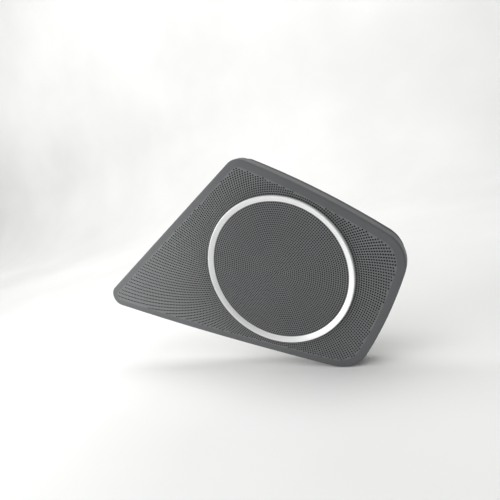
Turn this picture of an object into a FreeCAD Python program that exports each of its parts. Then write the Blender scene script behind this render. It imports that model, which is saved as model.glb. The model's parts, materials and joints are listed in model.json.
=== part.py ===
import FreeCAD, Part
import math
import os
from FreeCAD import Vector

# Door speaker module: a perforated grille with a bright trim ring over a carrier frame that
# holds a two-way coaxial loudspeaker, a cone woofer with a dome tweeter on its centre post.
# Millimetres. X runs along the door, +Z is up, and Y is the loudspeaker's axis: the grille
# faces -Y and the door is at +Y. The origin is on that axis, in the face that meets the door.

# --- the loudspeaker's flange, which the grille, its ring and the carrier are drawn around ----
flange_radius = 82.5

# --- outline of the grille: four edges, clockwise from the upper right one ----------------
edge_angles = [51.13, -31.67, -108.46, 118.18]     # which way each edge faces, from +X towards +Z
edge_margins = [8.97, 31.28, 13.47, 36.78]       # from the flange's edge out to each edge's chord
corner_radii = [20.0, 36.0, 38.0, 15.0]     # at the start of each edge
edge_bulges = [5.2, 6.0, 4.0, 0.0]      # how far each edge's middle stands out of its chord
trim_gap = 0.7                          # half of the gap to the panel around the grille

# --- grille -------------------------------------------------------------------------------
front_clearance = 2.5                   # from the tweeter's guard to the cloth
grille_thickness = 2.5
field_thickness = 1.2                   # of the perforated field
border_width = 8.0                      # solid rim outside the perforated field
grille_edge_round = 1.6
skirt_thickness = 2.2
skirt_depth = 9.0                       # behind the back of the grille's plate
grille_boss_radius = 4.0
grille_boss_root = 0.2                  # of a boss sunk into the back of the plate
grille_screw_inset = 10.0               # from the grille's edge to a screw's axis
grille_screw_spots = [(0, 0.22), (0, 0.85), (1, 0.5), (2, 0.12), (2, 0.45), (2, 0.82), (3, 0.25), (3, 0.7)]
grille_screw_radius = 1.75
grille_head_radius = 3.6
grille_head_height = 2.4
grille_screw_length = 11.0
cloth_thickness = 0.5
cloth_inset = 6.0                       # from the grille's edge to the cloth's edge
cloth_hole_clearance = 0.5              # around the grille's bosses

# --- trim ring ----------------------------------------------------------------------------
ring_width = 6.0
ring_height = 3.1                       # of its outer edge above the grille
ring_inner_height = 0.4
ring_crest = 0.9                        # width of the rounded crest
ring_crest_swell = 0.3                  # share of the crest's width that its arc cuts off
ring_land = 2.0                         # of full grille thickness on each side of the ring
peg_count = 6
peg_radius = 1.5
peg_clearance = 0.1
peg_end = 1.0                           # of a peg behind its push nut
push_nut_radius = 4.0
push_nut_thickness = 0.5

# --- carrier frame ------------------------------------------------------------------------
skirt_clearance = 0.6
carrier_wall = 2.2
wall_gap = 1.0                          # from the carrier's wall to the cloth
land_depth = 3.5                        # of the ribs and lands behind the web
land_width = 9.0
web_thickness = 2.5
seal_width = 4.0
seal_depth = 3.0
seal_margin = 2.0                       # of the speaker band outside the seal
rib_thickness = 2.2
radial_ribs = 20
rib_ring_pitch = 28.0
rib_root = 1.0                          # of the radial ribs sunk into the speaker band
speaker_band_width = 21.0
seat_height = 3.0                       # of the speaker's seat above the web
spigot_wall = 3.5
spigot_depth = 6.0
spigot_root = 1.0                       # of the spigot sunk into the speaker band
tower_radius = 6.5
tower_height = 8.0                      # of a grille screw's tower above the web
tower_floor = 3.0
tower_wall = 1.5
screw_clearance = 0.35
thread_clearance = 0.05                 # the screws have plain shanks
head_round = 0.4                        # of a screw head's height
recess_depth = 0.55                     # of a screw head's height
recess_length = 0.5                     # half of the recess, as a share of the head's radius
recess_width = 0.13
fixing_boss_radius = 9.0
fixing_boss_height = 3.0                # above the web
fixing_reach = [26.0, 30.0, 30.0, 48.0]     # from each sharp corner to a door fixing
side_fixings = [(2, 0.5), (3, 0.5)]         # the two fixings at the middle of a long edge
side_fixing_inset = 22.0
fixing_hole_radius = 3.3
sleeve_wall = 1.5

# --- woofer -------------------------------------------------------------------------------
flange_seat = 11.0                      # width of the flange on the carrier
mouth_step = 6.5                        # of the basket's mouth inside the carrier's hole
gasket_thickness = 1.5
sheet_steel = 1.2
speaker_screw_inset = 4.5               # from the flange's edge to a screw's axis
speaker_screw_start = 45.0              # angle of the first screw and rivet, from +X
speaker_screw_count = 4
speaker_screw_radius = 1.9
speaker_screw_length = 9.0
speaker_head_radius = 3.7
speaker_head_height = 2.6
insert_wall = 1.4
insert_depth = 7.0
flange_hole_clearance = 0.5
surround_inset = 9.5                    # from the flange's edge to the surround's edge
surround_landing = 1.5                  # from the basket's mouth to the roll
surround_width = 10.5                   # of the roll
surround_thickness = 0.6
retaining_ring_height = 2.0
retaining_ring_overhang = 0.8
cone_lip = 3.5
cone_thickness = 0.8
cone_depth = 17.5
cone_flare = 1.6                        # how far the cone's wall curves to the front
coil_radius = 12.95
former_thickness = 0.25
coil_thickness = 0.7
coil_height = 10.0
gap_clearance = 0.6
neck_overlap = 1.0                      # of the former in front of the cone's neck
spider_step = 6.5                       # of the spider's edge outside the magnet's
spider_seat_clearance = 0.5             # from the spider's edge to the basket's wall
spider_thickness = 0.5
spider_roll_width = 2.2                 # of the narrowest roll that the height below allows
spider_roll_height = 1.1
spider_neck = 2.5                       # flat width at the coil former
lead_width = 3.6
lead_thickness = 0.4
lead_inset = 0.3                        # of a lead's ends inside the spider's edges
ledge_width = 6.5
spider_depth = 23.0                     # from the flange's front to the spider's ledge
motor_depth = 34.5                      # from the flange's front to the magnet's seat
basket_seat_step = 1.5                  # of the basket's seat inside the top plate's edge
basket_hole_step = 3.5                  # of the basket's hole outside the plate's hole
window_count = 6
window_angle = 40.0
window_margin = 2.2
window_round = 3.0
vent_radius = 3.0
vent_overrun = 4.0                      # of the vent's cut on each side of the wall
top_plate_step = 4.0                    # of the top plate's edge inside the magnet's
top_plate_thickness = 6.0
magnet_radius = 42.5
magnet_bore_step = 2.5                  # of the magnet's bore outside the plate's hole
magnet_thickness = 15.0
yoke_step = 2.5                         # of the yoke's edge inside the magnet's
yoke_thickness = 5.5
rivet_count = 4
rivet_radius = 2.0
rivet_head_radius = 3.4
rivet_head_height = 1.2
rivet_grip = 4.0                        # of the rivets in the top plate
rivet_clearance = 0.1
bolt_radius = 2.9
bolt_clearance = 0.2
bolt_head_radius = 5.0                  # half of the width across flats
bolt_head_height = 4.0
bolt_head_root = 1.0                    # of the shank left in the head
bolt_grip = 14.0                        # of the bolt in the post
bolt_end_clearance = 2.0
washer_radius = 6.5
washer_thickness = 1.0

# --- terminals and crossover --------------------------------------------------------------
board_width = 26.0
board_thickness = 1.6
board_reach = 12.0                      # of the board outside the spider's edge
board_inset = 1.5                       # from the ledge's inner edge to the board
blade_width = 4.8
blade_thickness = 0.8
blade_length = 13.0
blade_spacing = 12.0
blade_inset = 2.0                       # from the board's edge to a blade
blade_foot = 2.4                        # of the blade's foot inside its rivet's axis
terminal_rivet_radius = 1.2
terminal_rivet_inset = 2.8              # from the spider's edge to a rivet's axis
terminal_head_scale = 1.7               # of a rivet head's radius to its shank's
terminal_head_height = 0.5
terminal_hole_clearance = 0.8           # keeps the rivets off the steel basket
capacitor_radius = 6.0
capacitor_length = 24.0
capacitor_round = 1.0
clip_gap = 0.3                          # from the capacitor's clip to the basket's cup
clip_width = 7.0
clip_thickness = 0.8

# --- tweeter ------------------------------------------------------------------------------
post_radius = 6.0
post_clearance = 0.1
tweeter_setback = 8.5                   # from the flange's front back to the tweeter's floor
landing_width = 2.6                     # of the suspension's landing in the housing
housing_wall = 1.6
housing_floor = 2.0
housing_depth = 13.0
socket_wall = 2.4
socket_depth = 8.0
dome_radius = 9.6
dome_height = 4.4
dome_rim = 0.7
dome_thickness = 0.3
suspension_lap = 0.2                    # from the dome's edge to the suspension's lip
suspension_clearance = 0.1              # from the dome's rim to the suspension's roll
part_clearance = 0.1                    # around the parts pressed into the housing
tweeter_coil_thickness = 0.7
tweeter_coil_height = 3.3
tweeter_clearance = 0.6
tweeter_yoke_floor = 2.0
tweeter_yoke_wall = 1.6
tweeter_magnet_thickness = 3.0
tweeter_magnet_gap = 2.2                # from the magnet to the yoke's wall
tweeter_pole_thickness = 2.0
tweeter_plate_thickness = 1.3
tweeter_plate_step = 0.7                # of the plate's hole outside the yoke's bore
suspension_roll = 1.1
landing_clearance = 0.2                 # from the roll to the guard's ring
suspension_thickness = 0.3
guard_ring_height = 2.2
guard_clearance = 1.2                   # from the dome's top to the guard's arms
guard_arm_count = 3
guard_arm_width = 2.4
guard_arm_thickness = 0.8
guard_disc_radius = 4.0
guard_leg_width = 1.8
guard_leg_gap = 0.5                     # of the legs inside the ring's edge, and off its back

# --- levels along Y, worked out from the sizes above --------------------------------------
axis = Vector(0, 1, 0)
web_front = -land_depth - web_thickness
seat_face = web_front - seat_height
flange_back = seat_face - gasket_thickness
flange_front = flange_back - sheet_steel
ledge_front = flange_front + spider_depth
ledge_back = ledge_front + sheet_steel
basket_front = flange_front + motor_depth
plate_front = basket_front + sheet_steel
magnet_front = plate_front + top_plate_thickness
yoke_front = magnet_front + magnet_thickness
yoke_back = yoke_front + yoke_thickness
cone_neck = flange_front + cone_depth
floor_back = flange_front + tweeter_setback
floor_front = floor_back - housing_floor
tweeter_magnet_back = floor_front - tweeter_yoke_floor
tweeter_pole_back = tweeter_magnet_back - tweeter_magnet_thickness
tweeter_yoke_front = tweeter_pole_back - tweeter_pole_thickness
dome_seat = tweeter_yoke_front - tweeter_plate_thickness
dome_back = dome_seat - suspension_thickness
dome_front = dome_back - dome_thickness
guard_back = dome_front - dome_height - guard_clearance
guard_front = guard_back - guard_arm_thickness
cloth_back = guard_front - front_clearance
plate_back = cloth_back - cloth_thickness
front = plate_back - grille_thickness
field_back = front + field_thickness

# --- radii that follow from the sizes above -----------------------------------------------
corners = []
for i, (angle, margin) in enumerate(zip(edge_angles, edge_margins)):
    last = math.radians(edge_angles[i - 1])
    this = math.radians(angle)
    last_reach, this_reach = flange_radius + edge_margins[i - 1], flange_radius + margin
    spread = math.sin(this - last)
    corners.append(((last_reach * math.sin(this) - this_reach * math.sin(last)) / spread,
                    (this_reach * math.cos(last) - last_reach * math.cos(this)) / spread))
carrier_inset = skirt_thickness + skirt_clearance
cutout_radius = flange_radius - flange_seat
basket_mouth_radius = cutout_radius - mouth_step
surround_outer_radius = flange_radius - surround_inset
surround_inner_radius = basket_mouth_radius + surround_landing
cone_radius = surround_inner_radius - surround_width
speaker_screw_circle = flange_radius - speaker_screw_inset
band_radius = cutout_radius + speaker_band_width
seal_radius = band_radius - seal_margin
former_outer = coil_radius + former_thickness
coil_outer = former_outer + coil_thickness
pole_radius = coil_radius - gap_clearance
plate_hole_radius = coil_outer + gap_clearance
magnet_bore_radius = plate_hole_radius + magnet_bore_step
basket_hole_radius = plate_hole_radius + basket_hole_step
top_plate_radius = magnet_radius - top_plate_step
yoke_radius = magnet_radius - yoke_step
basket_seat_radius = top_plate_radius - basket_seat_step
rivet_circle = (basket_hole_radius + top_plate_radius) / 2
ring_outer_radius = flange_radius
ring_inner_radius = ring_outer_radius - ring_width
peg_circle = ring_outer_radius - ring_width / 2
spider_outer_radius = magnet_radius + spider_step
ledge_inner = spider_outer_radius - ledge_width
bolt_hole_radius = bolt_radius + bolt_clearance
guard_inner = dome_radius + dome_rim + suspension_clearance + 2 * suspension_roll + landing_clearance
housing_inner = guard_inner + landing_width
housing_radius = housing_inner + housing_wall
tweeter_coil_inner = dome_radius - tweeter_coil_thickness
tweeter_gap_outer = dome_radius + tweeter_clearance
tweeter_magnet_radius = tweeter_gap_outer - tweeter_magnet_gap


# --- helpers ------------------------------------------------------------------------------
def unit(dx, dz):
    size = math.hypot(dx, dz)
    return dx / size, dz / size


def edge_ends(i):
    return corners[i], corners[(i + 1) % len(corners)]


def outward(i):
    (x0, z0), (x1, z1) = edge_ends(i)
    dx, dz = unit(x1 - x0, z1 - z0)
    return -dz, dx


def edge_point(i, share, inset):
    """A point at a share of edge i's length, moved in from the grille's edge."""
    (x0, z0), (x1, z1) = edge_ends(i)
    nx, nz = outward(i)
    rise = edge_bulges[i] * 4 * share * (1 - share) - trim_gap - inset
    return x0 + (x1 - x0) * share + nx * rise, z0 + (z1 - z0) * share + nz * rise


def corner_point(i, reach):
    """A point on the line that halves corner i, at a distance from the sharp corner."""
    x, z = corners[i]
    before, after = corners[i - 1], corners[(i + 1) % len(corners)]
    ax, az = unit(before[0] - x, before[1] - z)
    bx, bz = unit(after[0] - x, after[1] - z)
    mx, mz = unit(ax + bx, az + bz)
    return x + mx * reach, z + mz * reach


def edge_arc(i):
    """Centre and radius of edge i where it bulges."""
    (x0, z0), (x1, z1) = edge_ends(i)
    nx, nz = outward(i)
    half = math.hypot(x1 - x0, z1 - z0) / 2
    radius = (half ** 2 + edge_bulges[i] ** 2) / (2 * edge_bulges[i])
    sink = radius - edge_bulges[i]
    return Vector((x0 + x1) / 2 - nx * sink, 0, (z0 + z1) / 2 - nz * sink), radius


def outline(inset):
    """The opening in the panel around the grille, moved in by inset, as a flat face at y = 0."""
    sides = range(len(corners))
    curves, middles = [], []
    for i in sides:
        normal = Vector(outward(i)[0], 0, outward(i)[1])
        if edge_bulges[i]:
            centre, radius = edge_arc(i)
            curves.append(Part.Circle(centre, axis, radius - inset))
            middles.append(centre + normal * (radius - inset))
        else:
            ends = [Vector(x, 0, z) - normal * inset for x, z in edge_ends(i)]
            curves.append(Part.Line(*ends))
            middles.append((ends[0] + ends[1]) / 2)
    sharp = []
    for i in sides:
        near = Vector(corners[i][0], 0, corners[i][1])
        hits = [Vector(p.X, 0, p.Z) for p in curves[i - 1].intersectCC(curves[i])]
        sharp.append(min(hits, key=near.distanceToPoint))
    edges = []
    for i in sides:
        a, b = sharp[i], sharp[(i + 1) % len(corners)]
        edge = Part.Arc(a, middles[i], b) if edge_bulges[i] else Part.LineSegment(a, b)
        edges.append(edge.toShape())
    block = Part.Face(Part.Wire(edges)).extrude(axis)
    for point, radius in zip(sharp, corner_radii):
        upright = [e for e in block.Edges
                   if all(math.hypot(v.X - point.x, v.Z - point.z) < 1e-4 for v in e.Vertexes)]
        block = block.makeFillet(radius - inset, upright)
    return [f for f in block.Faces if all(abs(v.Y) < 1e-6 for v in f.Vertexes)][0]


def slab(inset, y0, y1):
    """The grille's outline, moved in by inset, between two levels."""
    face = outline(trim_gap + inset)
    face.translate(Vector(0, y0, 0))
    return face.extrude(axis * (y1 - y0))


def disc(radius, y0, y1, x=0.0, z=0.0):
    return Part.makeCylinder(radius, y1 - y0, Vector(x, y0, z), axis)


def tube(outer, inner, y0, y1, x=0.0, z=0.0):
    return disc(outer, y0, y1, x, z).cut(disc(inner, y0, y1, x, z))


def turned(points):
    """A solid turned about the axis from (radius, y) points."""
    loop = [Vector(r, y, 0) for r, y in points]
    return Part.Face(Part.makePolygon(loop + loop[:1])).revolve(Vector(), axis, 360)


def turned_wire(edges):
    return Part.Face(Part.Wire(edges)).revolve(Vector(), axis, 360)


def line(a, b):
    return Part.LineSegment(Vector(a[0], a[1], 0), Vector(b[0], b[1], 0)).toShape()


def arc(a, middle, b):
    return Part.Arc(*(Vector(p[0], p[1], 0) for p in (a, middle, b))).toShape()


def around(shape, count, start=0.0):
    """Copies of a shape spaced evenly about the axis."""
    copies = []
    for k in range(count):
        copy = shape.copy()
        copy.rotate(Vector(), axis, start + 360.0 * k / count)
        copies.append(copy)
    return copies


def block(x0, x1, y0, y1, z0, z1):
    return Part.makeBox(x1 - x0, y1 - y0, z1 - z0, Vector(x0, y0, z0))


def screw(x, z, head_y, head_radius, head_height, shank_radius, length, side):
    """A pan-head screw whose head bears on head_y; side is +1 where the shank runs to +Y."""
    head_from, head_to = sorted((head_y, head_y - side * head_height))
    shank_from, shank_to = sorted((head_y, head_y + side * length))
    head = disc(head_radius, head_from, head_to, x, z)
    top = min(head.Edges, key=lambda e: side * e.CenterOfMass.y)
    head = head.makeFillet(head_height * head_round, [top])
    floor = head_y - side * head_height * (1 - recess_depth)
    recess_from, recess_to = sorted((head_y - side * head_height, floor))
    half_length, half_width = head_radius * recess_length, head_radius * recess_width
    for turn in (0, 90):
        slot = block(-half_length, half_length, recess_from, recess_to, -half_width, half_width)
        slot.rotate(Vector(), axis, turn)
        slot.translate(Vector(x, 0, z))
        head = head.cut(slot)
    return head.fuse(disc(shank_radius, shank_from, shank_to, x, z)).removeSplitter()


nodes = {}
grille_screws = [edge_point(i, share, grille_screw_inset) for i, share in grille_screw_spots]
fixings = [corner_point(i, reach) for i, reach in enumerate(fixing_reach)]
fixings += [edge_point(i, share, side_fixing_inset) for i, share in side_fixings]


# --- grille, its trim ring and its cloth --------------------------------------------------
def make_grille():
    plate = slab(0, front, plate_back)
    rim = [e for e in plate.Edges if all(abs(v.Y - front) < 1e-6 for v in e.Vertexes)]
    plate = plate.makeFillet(grille_edge_round, rim)
    skirt_back = plate_back + skirt_depth
    skirt = slab(0, plate_back, skirt_back).cut(slab(skirt_thickness, plate_back, skirt_back))
    pocket = slab(border_width, field_back, plate_back)
    pocket = pocket.cut(tube(ring_outer_radius + ring_land, ring_inner_radius - ring_land,
                             field_back, plate_back))
    grille = plate.cut(pocket).fuse(skirt)
    boss_back = web_front - tower_height
    for x, z in grille_screws:
        boss_front = field_back - grille_boss_root
        grille = grille.fuse(disc(grille_boss_radius, boss_front, boss_back, x, z))
    for x, z in grille_screws:
        grille = grille.cut(disc(grille_screw_radius + thread_clearance, plate_back, boss_back, x, z))
    peg_hole = disc(peg_radius + peg_clearance, front, plate_back, peg_circle, 0)
    return grille.cut(Part.makeCompound(around(peg_hole, peg_count))).removeSplitter()


def make_trim_ring():
    r0, r1 = ring_inner_radius, ring_outer_radius
    top = front - ring_height
    crest = r1 - ring_crest
    low = front - ring_inner_height
    swell = ring_crest * ring_crest_swell
    section = [
        line((r0, front), (r1, front)),
        line((r1, front), (r1, top + ring_crest)),
        arc((r1, top + ring_crest), (r1 - swell, top + swell), (crest, top)),
        line((crest, top), (r0, low)),
        line((r0, low), (r0, front)),
    ]
    ring = turned_wire(section)
    peg = disc(peg_radius, front, cloth_back + push_nut_thickness + peg_end, peg_circle, 0)
    for one in around(peg, peg_count):
        ring = ring.fuse(one)
    return ring.removeSplitter()


def make_cloth():
    cloth = slab(cloth_inset, plate_back, cloth_back)
    for x, z in grille_screws:
        boss_hole = grille_boss_radius + cloth_hole_clearance
        cloth = cloth.cut(disc(boss_hole, plate_back, cloth_back, x, z))
    peg_hole = disc(peg_radius + peg_clearance, plate_back, cloth_back, peg_circle, 0)
    return cloth.cut(Part.makeCompound(around(peg_hole, peg_count)))


nodes["grille_panel"] = make_grille()
nodes["trim_ring"] = make_trim_ring()
nodes["acoustic_cloth"] = make_cloth()
push_nut = tube(push_nut_radius, peg_radius, cloth_back, cloth_back + push_nut_thickness, peg_circle, 0)
nodes["trim_ring_push_nuts"] = Part.makeCompound(around(push_nut, peg_count))


# --- carrier frame, its seal and its fasteners --------------------------------------------
def make_carrier():
    web = slab(carrier_inset, web_front, -land_depth)
    wall_front = cloth_back + wall_gap
    inner = carrier_inset + carrier_wall
    wall = slab(carrier_inset, wall_front, web_front).cut(slab(inner, wall_front, web_front))
    land = slab(carrier_inset, -land_depth, 0).cut(slab(carrier_inset + land_width, -land_depth, 0))
    body = web.fuse(wall).fuse(land)
    body = body.fuse(disc(band_radius, web_front, 0))
    body = body.fuse(disc(flange_radius, seat_face, web_front))
    reach = max(math.hypot(x, z) for x, z in corners)
    ribs = []
    for k in range(radial_ribs):
        rib = block(band_radius - rib_root, reach, -land_depth, 0, -rib_thickness / 2, rib_thickness / 2)
        rib.rotate(Vector(), axis, 360.0 * (k + 0.5) / radial_ribs)
        ribs.append(rib)
    radius = band_radius + rib_ring_pitch
    while radius < reach:
        ribs.append(tube(radius + rib_thickness / 2, radius - rib_thickness / 2, -land_depth, 0))
        radius += rib_ring_pitch
    field = slab(carrier_inset + land_width / 2, -land_depth, 0)
    body = body.fuse(Part.makeCompound(ribs).common(field))
    tower_front = web_front - tower_height
    for x, z in grille_screws:
        body = body.fuse(disc(tower_radius, tower_front, 0, x, z))
    for x, z in fixings:
        body = body.fuse(disc(fixing_boss_radius, web_front - fixing_boss_height, 0, x, z))
    body = body.fuse(disc(cutout_radius + spigot_wall, -spigot_root, spigot_depth))
    body = body.cut(tube(seal_radius, seal_radius - seal_width, -seal_depth, 0))
    body = body.cut(disc(cutout_radius, seat_face, spigot_depth))
    for x, z in grille_screws:
        body = body.cut(disc(tower_radius - tower_wall, tower_front + tower_floor, 0, x, z))
        body = body.cut(disc(grille_screw_radius + screw_clearance, tower_front, 0, x, z))
    for x, z in fixings:
        body = body.cut(disc(fixing_hole_radius + sleeve_wall, web_front - fixing_boss_height, 0, x, z))
    pocket = disc(speaker_screw_radius + insert_wall, seat_face, seat_face + insert_depth,
                  speaker_screw_circle, 0)
    return body.cut(Part.makeCompound(around(pocket, speaker_screw_count, speaker_screw_start))).removeSplitter()


nodes["carrier_frame"] = make_carrier()
nodes["mount_sleeves"] = Part.makeCompound([
    tube(fixing_hole_radius + sleeve_wall, fixing_hole_radius, web_front - fixing_boss_height, 0, x, z)
    for x, z in fixings])
nodes["door_seal"] = tube(seal_radius, seal_radius - seal_width, -seal_depth, 0)
tower_seat = web_front - tower_height + tower_floor
nodes["grille_screws"] = Part.makeCompound([
    screw(x, z, tower_seat, grille_head_radius, grille_head_height, grille_screw_radius,
          grille_screw_length, -1)
    for x, z in grille_screws])
insert = tube(speaker_screw_radius + insert_wall, speaker_screw_radius + thread_clearance, seat_face,
              seat_face + insert_depth, speaker_screw_circle, 0)
nodes["speaker_inserts"] = Part.makeCompound(around(insert, speaker_screw_count, speaker_screw_start))
gasket = tube(flange_radius, cutout_radius, seat_face - gasket_thickness, seat_face)
flange_hole = disc(speaker_screw_radius + flange_hole_clearance, flange_front, seat_face,
                   speaker_screw_circle, 0)
flange_holes = Part.makeCompound(around(flange_hole, speaker_screw_count, speaker_screw_start))
nodes["speaker_gasket"] = gasket.cut(flange_holes)
speaker_screw = screw(speaker_screw_circle, 0, flange_front, speaker_head_radius,
                      speaker_head_height, speaker_screw_radius, speaker_screw_length, 1)
nodes["speaker_screws"] = Part.makeCompound(around(speaker_screw, speaker_screw_count, speaker_screw_start))


# --- woofer -------------------------------------------------------------------------------
def slant(a, b, y):
    """Radius at level y on the line from a to b, inside and outside a steel sheet."""
    (r0, y0), (r1, y1) = a, b
    inside = r0 + (r1 - r0) * (y - y0) / (y1 - y0)
    return inside, inside + sheet_steel * math.hypot(r1 - r0, y1 - y0) / abs(y1 - y0)


def make_basket():
    mouth = (basket_mouth_radius, flange_front)
    ledge = (spider_outer_radius + spider_seat_clearance, ledge_front)
    step = (ledge_inner, ledge_front)
    seat = (basket_seat_radius, basket_front)
    body = turned([
        (flange_radius, flange_front), mouth, ledge, step, seat,
        (basket_hole_radius, basket_front), (basket_hole_radius, plate_front),
        (slant(step, seat, plate_front)[1], plate_front),
        (slant(step, seat, ledge_back)[1], ledge_back),
        (slant(mouth, ledge, ledge_back)[1], ledge_back),
        (slant(mouth, ledge, flange_back)[1], flange_back), (flange_radius, flange_back)])
    low = slant(mouth, ledge, ledge_front)[1] + window_margin
    high = basket_mouth_radius - window_margin
    frame = [Vector(low, flange_front, 0), Vector(high, flange_front, 0),
             Vector(high, ledge_back, 0), Vector(low, ledge_back, 0)]
    window = Part.Face(Part.makePolygon(frame + frame[:1])).revolve(Vector(), axis, window_angle)
    upright = [e for e in window.Edges if abs(e.Vertexes[0].Y - e.Vertexes[-1].Y) > 1]
    window = window.makeFillet(window_round, upright)
    body = body.cut(Part.makeCompound(around(window, window_count, -window_angle / 2)))
    vent_y = (ledge_back + basket_front) / 2
    vent_start = Vector(basket_seat_radius - vent_overrun, vent_y, 0)
    vent_length = ledge_inner - basket_seat_radius + 2 * vent_overrun
    vent = Part.makeCylinder(vent_radius, vent_length, vent_start, Vector(1, 0, 0))
    body = body.cut(Part.makeCompound(around(vent, window_count)))
    rivet = disc(rivet_radius + rivet_clearance, basket_front, plate_front, rivet_circle, 0)
    body = body.cut(Part.makeCompound(around(rivet, rivet_count, speaker_screw_start)))
    for x in (-blade_spacing / 2, blade_spacing / 2):
        hole_radius = terminal_rivet_radius + terminal_hole_clearance
        body = body.cut(disc(hole_radius, ledge_front, ledge_back, x, terminal_z))
    return body.cut(flange_holes)


def make_surround():
    """A half-round roll between a landing on the flange and a lip on the cone."""
    y, thick = flange_front, surround_thickness
    middle = (surround_inner_radius + cone_radius) / 2
    outer = (surround_inner_radius - cone_radius) / 2
    inner = outer - thick
    reach = math.sqrt(outer ** 2 - thick ** 2)
    lip = cone_radius - cone_lip
    return turned_wire([
        line((lip, y), (middle - inner, y)),
        arc((middle - inner, y), (middle, y - inner), (middle + inner, y)),
        line((middle + inner, y), (surround_outer_radius, y)),
        line((surround_outer_radius, y), (surround_outer_radius, y - thick)),
        line((surround_outer_radius, y - thick), (middle + reach, y - thick)),
        arc((middle + reach, y - thick), (middle, y - outer), (middle - reach, y - thick)),
        line((middle - reach, y - thick), (lip, y - thick)),
        line((lip, y - thick), (lip, y))])


def make_cone():
    y, thick = flange_front, cone_thickness
    rim, lip = cone_radius, cone_radius - cone_lip
    mid_r = (lip + former_outer) / 2
    mid_y = (y + cone_neck) / 2 - cone_flare
    return turned_wire([
        line((rim, y), (lip, y)),
        arc((lip, y), (mid_r, mid_y), (former_outer, cone_neck)),
        line((former_outer, cone_neck), (former_outer, cone_neck + thick)),
        arc((former_outer, cone_neck + thick), (mid_r, mid_y + thick), (lip, y + thick)),
        line((lip, y + thick), (rim, y + thick)),
        line((rim, y + thick), (rim, y))])


def corrugated(r0, r1, flat0, flat1, y, thick):
    """A turned sheet with half-round rolls between two flat bands; y is its back face."""
    start, end = r0 + flat0, r1 - flat1
    count = 2 * int((end - start) / (2 * spider_roll_width))
    pitch = (end - start) / count
    joints = [(start + pitch * k, start + pitch * (k + 1)) for k in range(count)]
    back, fore = [line((r0, y), (start, y))], [line((r0, y - thick), (start, y - thick))]
    for k, (a, b) in enumerate(joints):
        swing = spider_roll_height * (-1 if k % 2 else 1)
        back.append(arc((a, y), ((a + b) / 2, y + swing), (b, y)))
        fore.append(arc((a, y - thick), ((a + b) / 2, y - thick + swing), (b, y - thick)))
    back.append(line((end, y), (r1, y)))
    fore.append(line((end, y - thick), (r1, y - thick)))
    ends = [line((r1, y), (r1, y - thick)), line((r0, y - thick), (r0, y))]
    return turned_wire(back + ends[:1] + fore[::-1] + ends[1:])


terminal_z = -(spider_outer_radius - terminal_rivet_inset)
nodes["basket"] = make_basket()
nodes["surround"] = make_surround()
ring_front = flange_front - surround_thickness - retaining_ring_height
nodes["surround_retainer"] = tube(surround_outer_radius + retaining_ring_overhang,
                                  surround_inner_radius + retaining_ring_overhang,
                                  ring_front, flange_front - surround_thickness)
nodes["cone"] = make_cone()
coil_middle = plate_front + top_plate_thickness / 2
coil_back = coil_middle + coil_height / 2
nodes["coil_former"] = tube(former_outer, coil_radius, cone_neck - neck_overlap, coil_back)
nodes["voice_coil"] = tube(coil_outer, former_outer, coil_back - coil_height, coil_back)
spider = corrugated(former_outer, spider_outer_radius, spider_neck, ledge_width, ledge_front, spider_thickness)
lead_back = ledge_front - spider_thickness
leads = corrugated(former_outer + lead_inset, spider_outer_radius - lead_inset,
                   spider_neck - lead_inset, ledge_width - lead_inset, lead_back, lead_thickness)
lead_room = 2 * spider_roll_height      # deeper than the leads' rolls
strips = []
for x in (-blade_spacing / 2, blade_spacing / 2):
    spider = spider.cut(disc(terminal_rivet_radius, lead_back, ledge_front, x, terminal_z))
    strip = leads.common(block(x - lead_width / 2, x + lead_width / 2, lead_back - lead_room,
                               lead_back + lead_room, -spider_outer_radius, 0))
    strips.append(strip.cut(disc(terminal_rivet_radius, lead_back - lead_room, lead_back, x, terminal_z)))
nodes["spider"] = spider
nodes["spider_leads"] = Part.makeCompound(strips)
rivet_hole = disc(rivet_radius + rivet_clearance, plate_front, plate_front + rivet_grip, rivet_circle, 0)
top_plate = tube(top_plate_radius, plate_hole_radius, plate_front, magnet_front)
nodes["top_plate"] = top_plate.cut(Part.makeCompound(around(rivet_hole, rivet_count, speaker_screw_start)))
rivet = disc(rivet_radius, basket_front, plate_front + rivet_grip, rivet_circle, 0)
rivet = rivet.fuse(disc(rivet_head_radius, basket_front - rivet_head_height, basket_front, rivet_circle, 0))
nodes["basket_rivets"] = Part.makeCompound(around(rivet, rivet_count, speaker_screw_start))
nodes["magnet"] = tube(magnet_radius, magnet_bore_radius, magnet_front, yoke_front)
yoke = turned([(bolt_hole_radius, plate_front), (pole_radius, plate_front), (pole_radius, yoke_front),
               (yoke_radius, yoke_front), (yoke_radius, yoke_back), (bolt_hole_radius, yoke_back)])
nodes["pole_yoke"] = yoke
nodes["post_washer"] = tube(washer_radius, bolt_hole_radius, yoke_back, yoke_back + washer_thickness)
head_back = yoke_back + washer_thickness + bolt_head_height
hexagon = [Vector(bolt_head_radius / math.cos(math.pi / 6), head_back, 0)]
for k in range(1, 7):
    angle = math.pi * k / 3
    hexagon.append(Vector(hexagon[0].x * math.cos(angle), head_back, hexagon[0].x * math.sin(angle)))
head = Part.Face(Part.makePolygon(hexagon)).extrude(axis * -bolt_head_height)
nodes["post_bolt"] = head.fuse(disc(bolt_radius, plate_front - bolt_grip, head_back - bolt_head_root))
post = disc(post_radius, floor_back, plate_front)
nodes["tweeter_post"] = post.cut(disc(bolt_hole_radius, plate_front - bolt_grip - bolt_end_clearance,
                                        plate_front))


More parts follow.
